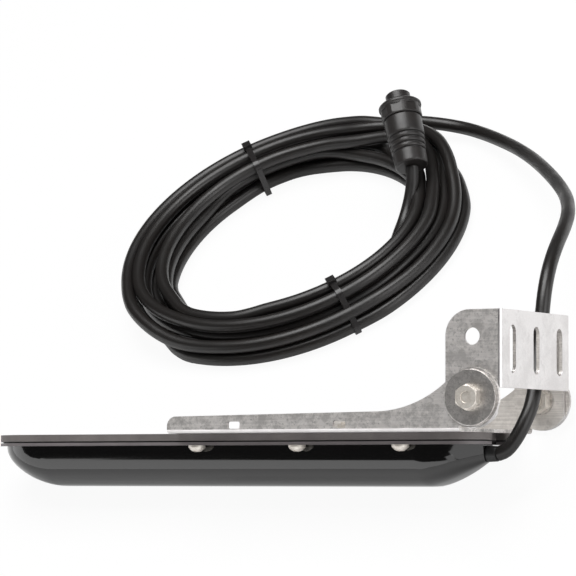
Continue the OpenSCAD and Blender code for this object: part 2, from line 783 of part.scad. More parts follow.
// A ring with shallow grips and a wider rim at its front
module locking_collar() {
  grips = 8;
  grip_depth = 0.45;
  grip_w = 5.2;
  grip_foot = 1;
  rim_l = 2.2;
  color([0.06, 0.06, 0.06]) plug_place() translate([0, 0, collar_start]) difference() {
    rotate_extrude() polygon([
      [collar_bore_r, 0], [collar_r - 0.5, 0], [collar_r - 0.1, 0.4], [collar_r - 0.1, collar_l - rim_l],
      [collar_r + 0.5, collar_l - rim_l + 0.5], [collar_r + 0.5, collar_l - 0.8], [collar_r - 0.3, collar_l],
      [collar_bore_r, collar_l]
    ]);
    for (i = [0:grips - 1]) rotate(i * 360 / grips) translate([collar_r - grip_depth, -grip_w / 2, grip_foot])
      cube([2 * grip_depth, grip_w, collar_l - rim_l - 2 * grip_foot]);
  }
}

module plug_barrel() {
  key_w = 2;
  key_h = 0.8;
  start = collar_start - 2;
  color([0.05, 0.05, 0.05]) plug_place() difference() {
    union() {
      translate([0, 0, start]) cylinder(h = plug_l - start - 0.6, r = barrel_r);
      translate([0, 0, plug_l - 0.6]) cylinder(h = 0.6, r1 = barrel_r, r2 = barrel_r - 0.6);
    }
    translate([0, 0, plug_l - socket_depth]) cylinder(h = socket_depth + cut, r = barrel_r - barrel_wall);
    translate([barrel_r - key_h, -key_w / 2, collar_start + collar_l + 1])
      cube([key_h + cut, key_w, barrel_l]);
  }
}

module contact_pins() {
  circle_r = (barrel_r - barrel_wall) * 0.62;
  pin_r = 0.55;
  pin_l = socket_depth * 0.7;
  color([0.85, 0.68, 0.3]) plug_place() translate([0, 0, plug_l - socket_depth]) {
    for (i = [0:pin_count - 1]) rotate([0, 0, i * 360 / pin_count])
      translate([circle_r, 0, 0]) cylinder(h = pin_l, r = pin_r, $fn = 24);
    cylinder(h = pin_l, r = pin_r, $fn = 24);
  }
}

// A ring of rubber at the foot of the barrel's free end
module plug_seal() {
  seal_r = 0.5;
  color([0.03, 0.03, 0.03]) plug_place() translate([0, 0, collar_start + collar_l + seal_r])
    rotate_extrude() translate([barrel_r + seal_r, 0]) circle(seal_r, $fn = 24);
}

hull_shell();
deck_gasket();
deck_plate();
element_carrier();
port_element();
starboard_element();
down_element();
signal_board();
signal_leads();
temperature_probe();
cable_anchor();
cable_gland();
base_bracket();
transom_bracket();
pivot_bolts();
pivot_washers();
small_washers();
pivot_nuts();
deck_screws();
deck_nuts();
lead_cable();
cable_coil();
tail_cable();
coil_ties();
plug_body();
locking_collar();
plug_barrel();
contact_pins();
plug_seal();
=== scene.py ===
"""Looks of a skimmer sonar transducer that lies on a table beside its coiled cable.

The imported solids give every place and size. Each class below dresses one sub-assembly. Sizes in the classes
are in mm, unless their docstring says metres.
"""

import logging
import math
from dataclasses import dataclass
from enum import Enum
from typing import Callable, Iterable, Sequence, Union

import bpy
from mathutils import Matrix, Vector


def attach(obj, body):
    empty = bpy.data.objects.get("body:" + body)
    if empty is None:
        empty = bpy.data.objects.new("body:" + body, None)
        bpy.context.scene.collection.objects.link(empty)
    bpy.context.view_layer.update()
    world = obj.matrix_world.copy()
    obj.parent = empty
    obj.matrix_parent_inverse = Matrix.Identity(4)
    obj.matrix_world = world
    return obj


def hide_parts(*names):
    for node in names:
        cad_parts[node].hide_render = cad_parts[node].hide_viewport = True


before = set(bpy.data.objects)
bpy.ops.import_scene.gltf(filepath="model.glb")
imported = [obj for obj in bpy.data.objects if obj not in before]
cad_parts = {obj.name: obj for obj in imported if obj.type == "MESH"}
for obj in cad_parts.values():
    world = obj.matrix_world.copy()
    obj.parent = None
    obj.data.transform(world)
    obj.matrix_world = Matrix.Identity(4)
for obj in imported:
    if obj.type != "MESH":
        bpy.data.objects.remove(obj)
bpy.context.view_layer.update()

LOG = logging.getLogger("sonar_transducer")
MM = 0.001
FULL_TURN = 360.0
ROUND_STEPS = 3
ROOT_BODY = "transducer"
BRACKET_BODY = "mount_bracket"

# The transducer lies rolled onto its far side: its own way up, and the way out of its near side
ROLL = math.radians(42.92)
HULL_UP = Vector((0.0, math.sin(ROLL), math.cos(ROLL)))
NEAR_SIDE = Vector((0.0, -math.cos(ROLL), math.sin(ROLL)))

Colour = tuple[float, float, float]
Point = tuple[float, float, float]
Span = tuple[float, float]
Tree = bpy.types.NodeTree
Socket = bpy.types.NodeSocket
Piece = bpy.types.Object
Face = bpy.types.MeshPolygon


class Grain(Enum):
    """Which surface pattern a finish carries."""

    MOULDED = "moulded"
    BRUSHED = "brushed"
    TURNED = "turned"
    JACKET = "jacket"


@dataclass(frozen=True)
class Finish:
    """One finish of the object: its colours, gloss and surface pattern, with the bump's depth in metres."""

    name: str
    light: Colour
    dark: Colour
    grain: Grain
    metallic: float = 0.0
    rough_low: float = 0.3
    rough_high: float = 0.5
    patch_scale: float = 40.0
    grain_scale: float = 900.0
    bump: float = 0.1
    bump_depth: float = 0.00005
    streaks: float = 0.0
    coat: float = 0.0
    coat_roughness: float = 0.1


class Finishes:
    """All finishes of the object, by name."""

    HULL = Finish("hull_gloss", (0.0022, 0.002, 0.0021), (0.0013, 0.0012, 0.0012), Grain.MOULDED,
                  rough_low=0.07, rough_high=0.12, patch_scale=18.0, grain_scale=700.0, bump=0.015,
                  bump_depth=0.00003, coat=0.6, coat_roughness=0.05)
    # Painted reflection: the rim's side is the hull's own black moulding, painted grey for the light it
    # reflects.
    RIM = Finish("rim_satin", (0.17, 0.153, 0.156), (0.125, 0.112, 0.115), Grain.MOULDED,
                 rough_low=0.42, rough_high=0.56, patch_scale=50.0, grain_scale=1400.0, bump=0.2)
    DECK = Finish("deck_grey", (0.15, 0.135, 0.13), (0.105, 0.095, 0.092), Grain.MOULDED,
                  rough_low=0.5, rough_high=0.68, patch_scale=55.0, grain_scale=1400.0, bump=0.3)
    RUBBER = Finish("black_rubber", (0.012, 0.012, 0.012), (0.006, 0.006, 0.006), Grain.MOULDED,
                    rough_low=0.45, rough_high=0.65, patch_scale=60.0, bump=0.15)
    SHEET = Finish("brushed_sheet", (0.92, 0.885, 0.86), (0.54, 0.52, 0.505), Grain.BRUSHED, metallic=0.82,
                   rough_low=0.42, rough_high=0.48, patch_scale=170.0, grain_scale=1500.0, bump=0.22,
                   bump_depth=0.00004, streaks=0.25)
    PLATE = Finish("polished_plate", (0.79, 0.77, 0.765), (0.71, 0.69, 0.685), Grain.BRUSHED, metallic=1.0,
                   rough_low=0.3, rough_high=0.38, patch_scale=70.0, grain_scale=1500.0, bump=0.12,
                   bump_depth=0.00003, streaks=0.1)
    # Painted light: a paler, less metallic copy of the sheet for the far walls' lit inner faces.
    INNER = Finish("sheet_inside", (0.8, 0.765, 0.725), (0.64, 0.605, 0.57), Grain.BRUSHED, metallic=0.2,
                   rough_low=0.4, rough_high=0.52, patch_scale=90.0, grain_scale=1500.0, bump=0.2,
                   bump_depth=0.00004, streaks=0.3)
    # Painted shade: a darker copy of the sheet on the base's up-facing floor, to hold down the overhead
    # lamp's glare.
    TRAY = Finish("tray_dull", (0.5, 0.485, 0.47), (0.39, 0.378, 0.366), Grain.BRUSHED, metallic=0.6,
                  rough_low=0.55, rough_high=0.68, patch_scale=60.0, grain_scale=1500.0, bump=0.2,
                  bump_depth=0.00004, streaks=0.25)
    WASHER = Finish("washer_steel", (0.78, 0.75, 0.725), (0.46, 0.44, 0.425), Grain.BRUSHED, metallic=1.0,
                    rough_low=0.38, rough_high=0.44, patch_scale=260.0, grain_scale=1800.0, bump=0.15,
                    streaks=0.1)
    FASTENER = Finish("bright_fastener", (0.93, 0.88, 0.81), (0.64, 0.59, 0.53), Grain.TURNED, metallic=0.6,
                      rough_low=0.32, rough_high=0.46, patch_scale=420.0, grain_scale=2200.0, bump=0.12,
                      streaks=0.1)
    CABLE = Finish("cable_jacket", (0.0135, 0.0115, 0.0105), (0.0075, 0.0065, 0.006), Grain.JACKET,
                   rough_low=0.3, rough_high=0.44, patch_scale=45.0, grain_scale=1100.0, bump=0.12)
    TIE = Finish("tie_nylon", (0.02, 0.018, 0.018), (0.012, 0.011, 0.011), Grain.MOULDED,
                 rough_low=0.2, rough_high=0.34, patch_scale=120.0, bump=0.08)
    PLUG = Finish("plug_charcoal", (0.026, 0.023, 0.022), (0.015, 0.0135, 0.013), Grain.MOULDED,
                  rough_low=0.3, rough_high=0.42, patch_scale=90.0, grain_scale=1600.0, bump=0.2)
    CONTACT = Finish("contact_gold", (0.85, 0.64, 0.28), (0.66, 0.48, 0.2), Grain.TURNED, metallic=1.0,
                     rough_low=0.2, rough_high=0.34, patch_scale=300.0)
    BRASS = Finish("probe_brass", (0.68, 0.52, 0.22), (0.5, 0.37, 0.15), Grain.TURNED, metallic=1.0,
                   rough_low=0.28, rough_high=0.42, patch_scale=200.0)
    ABSORBER = Finish("absorber_block", (0.34, 0.29, 0.21), (0.24, 0.2, 0.15), Grain.MOULDED,
                      rough_low=0.7, rough_high=0.86, patch_scale=80.0, bump=0.4)
    CERAMIC = Finish("element_ceramic", (0.72, 0.68, 0.58), (0.6, 0.56, 0.47), Grain.MOULDED,
                     rough_low=0.45, rough_high=0.6, patch_scale=90.0)
    BOARD = Finish("board_mask", (0.03, 0.16, 0.07), (0.018, 0.11, 0.045), Grain.MOULDED,
                   rough_low=0.35, rough_high=0.5, patch_scale=120.0)
    WIRE = Finish("wire_sleeve", (0.5, 0.05, 0.04), (0.38, 0.035, 0.03), Grain.JACKET,
                  rough_low=0.35, rough_high=0.5, patch_scale=200.0)


def maths(tree: Tree, operation: str, first: Socket, second: Union[Socket, float]) -> Socket:
    """Adds a Math node to a tree.

    Args:
        tree: The tree.
        operation: The node's operation.
        first: The first value.
        second: The second value, as a socket or a number.

    Returns:
        The socket of the result.
    """
    node = tree.nodes.new("ShaderNodeMath")
    node.operation = operation
    tree.links.new(first, node.inputs[0])
    if isinstance(second, float):
        node.inputs[1].default_value = second
    else:
        tree.links.new(second, node.inputs[1])
    return node.outputs["Value"]


def spread(tree: Tree, value: Socket, edge: Span, ends: Span = (0.0, 1.0)) -> Socket:
    """Adds a Map Range node, which turns the values between two limits into others.

    Args:
        tree: The tree.
        value: The value to turn.
        edge: The limits of the value.
        ends: What the limits become.

    Returns:
        The socket of the result.
    """
    node = tree.nodes.new("ShaderNodeMapRange")
    node.inputs["From Min"].default_value, node.inputs["From Max"].default_value = edge
    node.inputs["To Min"].default_value, node.inputs["To Max"].default_value = ends
    tree.links.new(value, node.inputs["Value"])
    return node.outputs["Result"]


class SurfaceGroups:
    """Shader node groups that the finishes share."""

    PATCH_DETAIL = 5.0
    PATCH_ROUGHNESS = 0.62
    PATCH_EDGE = (0.34, 0.68)
    LINE_DETAIL = 3.0
    BLOTCH_DETAIL = 6.0
    BLOTCH_ROUGHNESS = 0.72
    BLOTCH_EDGE = (0.4, 0.56)
    SPOT_DETAIL = 2.0
    SPOT_FINENESS = 3.7
    SPOT_EDGE = (0.3, 0.42)

    def __init__(self) -> None:
        """Builds the three groups once."""
        self.patches = self._patches()
        self.lines = self._lines()
        self.blotches = self._blotches()

    @staticmethod
    def _start(name: str, inputs: Sequence[str], output: str) -> tuple[Tree, bpy.types.Node, Socket]:
        """Opens a group with a vector input, some float inputs and one float output.

        Args:
            name: The group's name.
            inputs: Names of its float inputs.
            output: Name of its output.

        Returns:
            The tree, its input node and its output's socket.
        """
        tree = bpy.data.node_groups.new(name, "ShaderNodeTree")
        tree.interface.new_socket("Vector", in_out="INPUT", socket_type="NodeSocketVector")
        for label in inputs:
            tree.interface.new_socket(label, in_out="INPUT", socket_type="NodeSocketFloat")
        tree.interface.new_socket(output, in_out="OUTPUT", socket_type="NodeSocketFloat")
        return tree, tree.nodes.new("NodeGroupInput"), tree.nodes.new("NodeGroupOutput").inputs[output]

    @staticmethod
    def _noise(tree: Tree, vector: Socket, scale: Socket, detail: float, roughness: float = 0.5) -> Socket:
        """Adds a noise to a group.

        Args:
            tree: The group's tree.
            vector: Its coordinates.
            scale: Its scale.
            detail: How many finer noises it adds up.
            roughness: How strong the finer ones are.

        Returns:
            The noise's value.
        """
        noise = tree.nodes.new("ShaderNodeTexNoise")
        noise.inputs["Detail"].default_value = detail
        noise.inputs["Roughness"].default_value = roughness
        tree.links.new(vector, noise.inputs["Vector"])
        tree.links.new(scale, noise.inputs["Scale"])
        return noise.outputs["Fac"]

    def _patches(self) -> Tree:
        """Makes a group of soft patches, for stains, handling marks and uneven gloss.

        Returns:
            The group.
        """
        tree, start, mask = self._start("soft_patches", ["Scale"], "Mask")
        soft = self._noise(tree, start.outputs["Vector"], start.outputs["Scale"],
                           self.PATCH_DETAIL, self.PATCH_ROUGHNESS)
        tree.links.new(spread(tree, soft, self.PATCH_EDGE), mask)
        return tree

    def _lines(self) -> Tree:
        """Makes a group of fine lines along X, as rolling and brushing leave on sheet.

        Returns:
            The group.
        """
        tree, start, height = self._start("brushed_lines", ["Scale", "Stretch"], "Height")
        squeeze = tree.nodes.new("ShaderNodeCombineXYZ")
        squeeze.inputs["Y"].default_value = 1.0
        squeeze.inputs["Z"].default_value = 1.0
        tree.links.new(start.outputs["Stretch"], squeeze.inputs["X"])
        scaled = tree.nodes.new("ShaderNodeVectorMath")
        scaled.operation = "MULTIPLY"
        tree.links.new(start.outputs["Vector"], scaled.inputs[0])
        tree.links.new(squeeze.outputs["Vector"], scaled.inputs[1])
        fine = self._noise(tree, scaled.outputs["Vector"], start.outputs["Scale"], self.LINE_DETAIL)
        tree.links.new(fine, height)
        return tree

    def _blotches(self) -> Tree:
        """Makes a group of hard-edged blotches with small spots, as pickled sheet shows.

        Returns:
            The group.
        """
        tree, start, mask = self._start("sheet_blotches", ["Scale"], "Mask")
        place, scale = start.outputs["Vector"], start.outputs["Scale"]
        broad = self._noise(tree, place, scale, self.BLOTCH_DETAIL, self.BLOTCH_ROUGHNESS)
        finer = maths(tree, "MULTIPLY", scale, self.SPOT_FINENESS)
        spots = self._noise(tree, place, finer, self.SPOT_DETAIL)
        both = maths(tree, "MULTIPLY", spread(tree, broad, self.BLOTCH_EDGE),
                     spread(tree, spots, self.SPOT_EDGE))
        tree.links.new(both, mask)
        return tree


class Painter:
    """Makes each finish's material once and puts it on pieces."""

    BRUSHED_STRETCH = 0.02
    EVEN_STRETCH = 1.0
    STREAK_EDGE = (0.42, 0.62)
    STREAK_SHADE = (0.45, 0.44, 0.43)

    def __init__(self) -> None:
        """Builds the shared groups."""
        self.groups = SurfaceGroups()
        self.made: dict[str, bpy.types.Material] = {}

    @staticmethod
    def _group(tree: Tree, group: Tree, vector: Socket, **values: float) -> Socket:
        """Places a group in a material.

        Args:
            tree: The material's tree.
            group: The group to place.
            vector: The socket that gives its coordinates.
            values: Its float inputs.

        Returns:
            The group's output.
        """
        node = tree.nodes.new("ShaderNodeGroup")
        node.node_tree = group
        tree.links.new(vector, node.inputs["Vector"])
        for label, value in values.items():
            node.inputs[label].default_value = value
        return node.outputs[0]

    @staticmethod
    def _tint(tree: Tree, finish: Finish, mask: Socket) -> Socket:
        """Mixes a finish's two colours by its patches.

        Args:
            tree: The material's tree.
            finish: The finish.
            mask: Its patches.

        Returns:
            The mixed colour.
        """
        mix = tree.nodes.new("ShaderNodeMix")
        mix.data_type = "RGBA"
        mix.inputs["A"].default_value = (*finish.dark, 1.0)
        mix.inputs["B"].default_value = (*finish.light, 1.0)
        tree.links.new(mask, mix.inputs["Factor"])
        return mix.outputs["Result"]

    def _streaked(self, tree: Tree, finish: Finish, shade: Socket, height: Socket) -> Socket:
        """Darkens a colour along the fine lines.

        Args:
            tree: The material's tree.
            finish: The finish, which says how strongly.
            shade: The colour.
            height: The lines.

        Returns:
            The streaked colour.
        """
        mix = tree.nodes.new("ShaderNodeMix")
        mix.data_type = "RGBA"
        mix.blend_type = "MULTIPLY"
        mix.inputs["B"].default_value = (*self.STREAK_SHADE, 1.0)
        tree.links.new(spread(tree, height, self.STREAK_EDGE, (finish.streaks, 0.0)), mix.inputs["Factor"])
        tree.links.new(shade, mix.inputs["A"])
        return mix.outputs["Result"]

    @staticmethod
    def _relief(tree: Tree, finish: Finish, height: Socket) -> Socket:
        """Turns a finish's fine lines into a bump.

        Args:
            tree: The material's tree.
            finish: The finish.
            height: The lines.

        Returns:
            The bumped normal.
        """
        bump = tree.nodes.new("ShaderNodeBump")
        bump.inputs["Strength"].default_value = finish.bump
        bump.inputs["Distance"].default_value = finish.bump_depth
        tree.links.new(height, bump.inputs["Height"])
        return bump.outputs["Normal"]

    def _make(self, finish: Finish) -> bpy.types.Material:
        """Makes the material of a finish.

        Args:
            finish: The finish.

        Returns:
            The material.
        """
        material = bpy.data.materials.new(finish.name)
        material.use_nodes = True
        tree = material.node_tree
        shader = tree.nodes["Principled BSDF"]
        shader.inputs["Metallic"].default_value = finish.metallic
        shader.inputs["Coat Weight"].default_value = finish.coat
        shader.inputs["Coat Roughness"].default_value = finish.coat_roughness
        place = tree.nodes.new("ShaderNodeTexCoord").outputs["Object"]
        brushed = finish.grain is Grain.BRUSHED
        stain = self.groups.blotches if brushed else self.groups.patches
        stretch = self.BRUSHED_STRETCH if brushed else self.EVEN_STRETCH
        mask = self._group(tree, stain, place, Scale=finish.patch_scale)
        height = self._group(tree, self.groups.lines, place, Scale=finish.grain_scale, Stretch=stretch)
        shade = self._tint(tree, finish, mask)
        if finish.streaks:
            shade = self._streaked(tree, finish, shade, height)
        gloss = spread(tree, mask, (0.0, 1.0), (finish.rough_high, finish.rough_low))
        tree.links.new(shade, shader.inputs["Base Color"])
        tree.links.new(gloss, shader.inputs["Roughness"])
        tree.links.new(self._relief(tree, finish, height), shader.inputs["Normal"])
        return material

    def material(self, finish: Finish) -> bpy.types.Material:
        """Gives the material of a finish.

        Args:
            finish: The finish.

        Returns:
            Its material, made on first use.
        """
        if finish.name not in self.made:
            self.made[finish.name] = self._make(finish)
        return self.made[finish.name]

    def paint(self, piece: Piece, finish: Finish) -> None:
        """Gives a piece one finish all over."""
        piece.data.materials.clear()
        piece.data.materials.append(self.material(finish))

    def paint_faces(self, piece: Piece, finish: Finish, wanted: Callable[[Face], bool]) -> None:
        """Gives some faces of a piece a finish of their own.

        Args:
            piece: The piece, which has its main finish already.
            finish: The finish of those faces.
            wanted: Says whether a face gets it.
        """
        piece.data.materials.append(self.material(finish))
        added = len(piece.data.materials) - 1
        for face in piece.data.polygons:
            if wanted(face):
                face.material_index = added


@dataclass
class Workshop:
    """Makes and places pieces."""

    painter: Painter
    merge_gap: float = 0.002
    flat_angle: float = 0.2
    edge_angle: float = 38.0
    flat_weight: int = 100

    @staticmethod
    def only(piece: Piece) -> None:
        """Selects one piece alone and makes it active.

        Args:
            piece: The piece.
        """
        bpy.ops.object.select_all(action="DESELECT")
        piece.select_set(True)
        bpy.context.view_layer.objects.active = piece

    def _soften(self, piece: Piece, width: float, segments: int) -> None:
        """Rounds a piece's sharp edges.

        Args:
            piece: The piece, which is active.
            width: Width of its soft edges in mm.
            segments: Steps across a soft edge.
        """
        edge = piece.modifiers.new("soft_edge", "BEVEL")
        edge.width = width * MM
        edge.segments = segments
        edge.limit_method = "ANGLE"
        edge.angle_limit = math.radians(self.edge_angle)
        bpy.ops.object.modifier_apply(modifier=edge.name)

    def refine(self, node: str, name: str, slot: str, finish: Finish, body: str = ROOT_BODY,
               bevel: float = 0.0, segments: int = 2, smooth: float = 30.0) -> Piece:
        """Makes a finer piece from a node's solid: merged, with soft edges and smooth rounds.

        Args:
            node: The solid's name.
            name: The new piece's name.
            slot: The record's material slot; not used.
            finish: The finish it gets.
            body: The body it rides on.
            bevel: Width of its soft edges in mm, or 0 for none.
            segments: Steps across a soft edge.
            smooth: Angle in degrees under which faces are shaded as one round.

        Returns:
            The piece.
        """
        piece = bpy.data.objects.new(name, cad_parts[node].data.copy())
        piece.data.name = name
        bpy.context.scene.collection.objects.link(piece)
        self.only(piece)
        bpy.ops.mesh.customdata_custom_splitnormals_clear()
        bpy.ops.object.mode_set(mode="EDIT")
        bpy.ops.mesh.select_all(action="SELECT")
        bpy.ops.mesh.remove_doubles(threshold=self.merge_gap * MM)
        bpy.ops.mesh.dissolve_limited(angle_limit=math.radians(self.flat_angle))
        bpy.ops.object.mode_set(mode="OBJECT")
        if bevel:
            self._soften(piece, bevel, segments)
        bpy.ops.object.shade_smooth_by_angle(angle=math.radians(smooth))
        flat = piece.modifiers.new("flat_faces", "WEIGHTED_NORMAL")
        flat.weight = self.flat_weight
        flat.keep_sharp = True
        bpy.ops.object.modifier_apply(modifier=flat.name)
        self.painter.paint(piece, finish)
        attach(piece, body)
        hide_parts(node)
        LOG.info("refined %s from %s", name, node)
        return piece

    def dress(self, nodes: Iterable[str], finish: Finish) -> None:
        """Gives solids that stay as they are a finish.

        Args:
            nodes: The solids' names.
            finish: Their finish.
        """
        for node in nodes:
            self.painter.paint(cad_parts[node], finish)
            LOG.info("dressed %s", node)


@dataclass
class Hull:
    """The hull, its deck, and what is sealed inside."""

    shop: Workshop
    skin_edge: float = 0.3
    skin_smooth: float = 38.0
    deck_edge: float = 0.35
    screw_edge: float = 0.22
    nut_edge: float = 0.25
    rim_h: float = 1.6
    side_slope: float = 0.7

    def _satin_rim(self, skin: Piece) -> None:
        """Paints a reflection on the rim's side under the gasket, in grey satin on the hull's black.

        Args:
            skin: The hull's piece.
        """
        seam = min(v.co.dot(HULL_UP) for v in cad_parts["deck_gasket"].data.vertices)
        foot = seam - self.rim_h * MM

        def on_rim(face: Face) -> bool:
            """Says whether a face is on the rim's side."""
            return face.center.dot(HULL_UP) > foot and abs(face.normal.dot(HULL_UP)) < self.side_slope

        self.shop.painter.paint_faces(skin, Finishes.RIM, on_rim)

    def build(self) -> None:
        """Refines the shell, the deck and its fasteners, and dresses the sealed pieces."""
        shop = self.shop
        skin = shop.refine("hull_shell", "hull_skin", "hull", Finishes.HULL, bevel=self.skin_edge,
                           smooth=self.skin_smooth)
        self._satin_rim(skin)
        shop.refine("deck_plate", "deck_top", "deck", Finishes.DECK, bevel=self.deck_edge)
        # Painted shade in part: the gasket's black rubber darkens the recessed seam between deck and hull,
        # where shade also falls.
        shop.refine("deck_gasket", "gasket_line", "seal_rubber", Finishes.RUBBER)
        shop.refine("deck_screws", "deck_screw_heads", "fastener", Finishes.FASTENER, bevel=self.screw_edge,
                    segments=ROUND_STEPS)
        shop.refine("deck_nuts", "deck_nut_set", "fastener", Finishes.FASTENER, bevel=self.nut_edge)
        shop.dress(["element_carrier"], Finishes.ABSORBER)
        shop.dress(["port_element", "starboard_element", "down_element"], Finishes.CERAMIC)
        shop.dress(["signal_board"], Finishes.BOARD)
        shop.dress(["signal_leads"], Finishes.WIRE)
        shop.dress(["cable_anchor"], Finishes.RUBBER)
        shop.dress(["temperature_probe"], Finishes.BRASS)


@dataclass
class TiltBracket:
    """The base bracket, the transom bracket that tilts on it, and the pivot's hardware."""

    shop: Workshop
    sheet_edge: float = 0.28
    bolt_edge: float = 0.35
    washer_edge: float = 0.3
    small_washer_edge: float = 0.2
    nut_edge: float = 0.4
    plate_facing: float = 0.3
    fold_facing: float = -0.15
    wall_facing: float = 0.9
    middle: float = 29.63

    def _pale_inside(self, sheet: Piece) -> None:
        """Paints light on the inner face of a sheet's far wall: a paler copy of the sheet's finish.

        Args:
            sheet: The bracket's piece.
        """

        def inside(face: Face) -> bool:
            """Says whether a face is the far wall's inner face."""
            facing = face.normal.dot(NEAR_SIDE) > self.wall_facing
            return facing and face.center.dot(NEAR_SIDE) < self.middle * MM

        self.shop.painter.paint_faces(sheet, Finishes.INNER, inside)

    def _sheets(self) -> None:
        """Refines the two folded sheets, with a finish for each of their sides."""
        shop, paint_faces = self.shop, self.shop.painter.paint_faces
        lower = shop.refine("base_bracket", "base_sheet", "bracket_steel", Finishes.SHEET,
                            bevel=self.sheet_edge)
        paint_faces(lower, Finishes.PLATE, lambda face: face.normal.dot(HULL_UP) < self.fold_facing)
        # Painted shade: the base's up-facing floor is made darker than the rest of the sheet.
        paint_faces(lower, Finishes.TRAY, lambda face: face.normal.dot(HULL_UP) > self.wall_facing)
        upper = shop.refine("transom_bracket", "transom_sheet", "bracket_steel", Finishes.SHEET,
                            body=BRACKET_BODY, bevel=self.sheet_edge)
        paint_faces(upper, Finishes.PLATE, lambda face: abs(face.normal.x) > self.plate_facing)
        # Painted light: the far walls' inner faces are made paler than the rest of the sheet.
        for sheet in (lower, upper):
            self._pale_inside(sheet)

    def build(self) -> None:
        """Refines the folded sheets and the fasteners."""
        shop = self.shop
        self._sheets()
        shop.refine("pivot_bolts", "pivot_bolt_pair", "fastener", Finishes.FASTENER, bevel=self.bolt_edge,
                    segments=ROUND_STEPS)
        shop.refine("pivot_washers", "washer_pair", "washer", Finishes.WASHER, bevel=self.washer_edge,
                    segments=ROUND_STEPS)
        shop.refine("small_washers", "small_washer_pair", "washer", Finishes.WASHER,
                    bevel=self.small_washer_edge)
        shop.refine("pivot_nuts", "pivot_nut_pair", "fastener", Finishes.FASTENER, bevel=self.nut_edge)


@dataclass(frozen=True)
class Lap:
    """One turn of the coil: its seat in the bundle, and where the cable crosses to the next seat.

    The angles are in degrees round the coil, past the end of this turn.
    """

    column: int
    row: int
    leave: float = 0.0
    settle: float = 0.0


@dataclass(frozen=True)
class Sway:
    """A stretch of the cable that lies a little off its seat, in degrees past the start of a turn and mm."""

    turn: int
    start: float
    end: float
    slope: float
    out: float = 0.0
    lift: float = 0.0


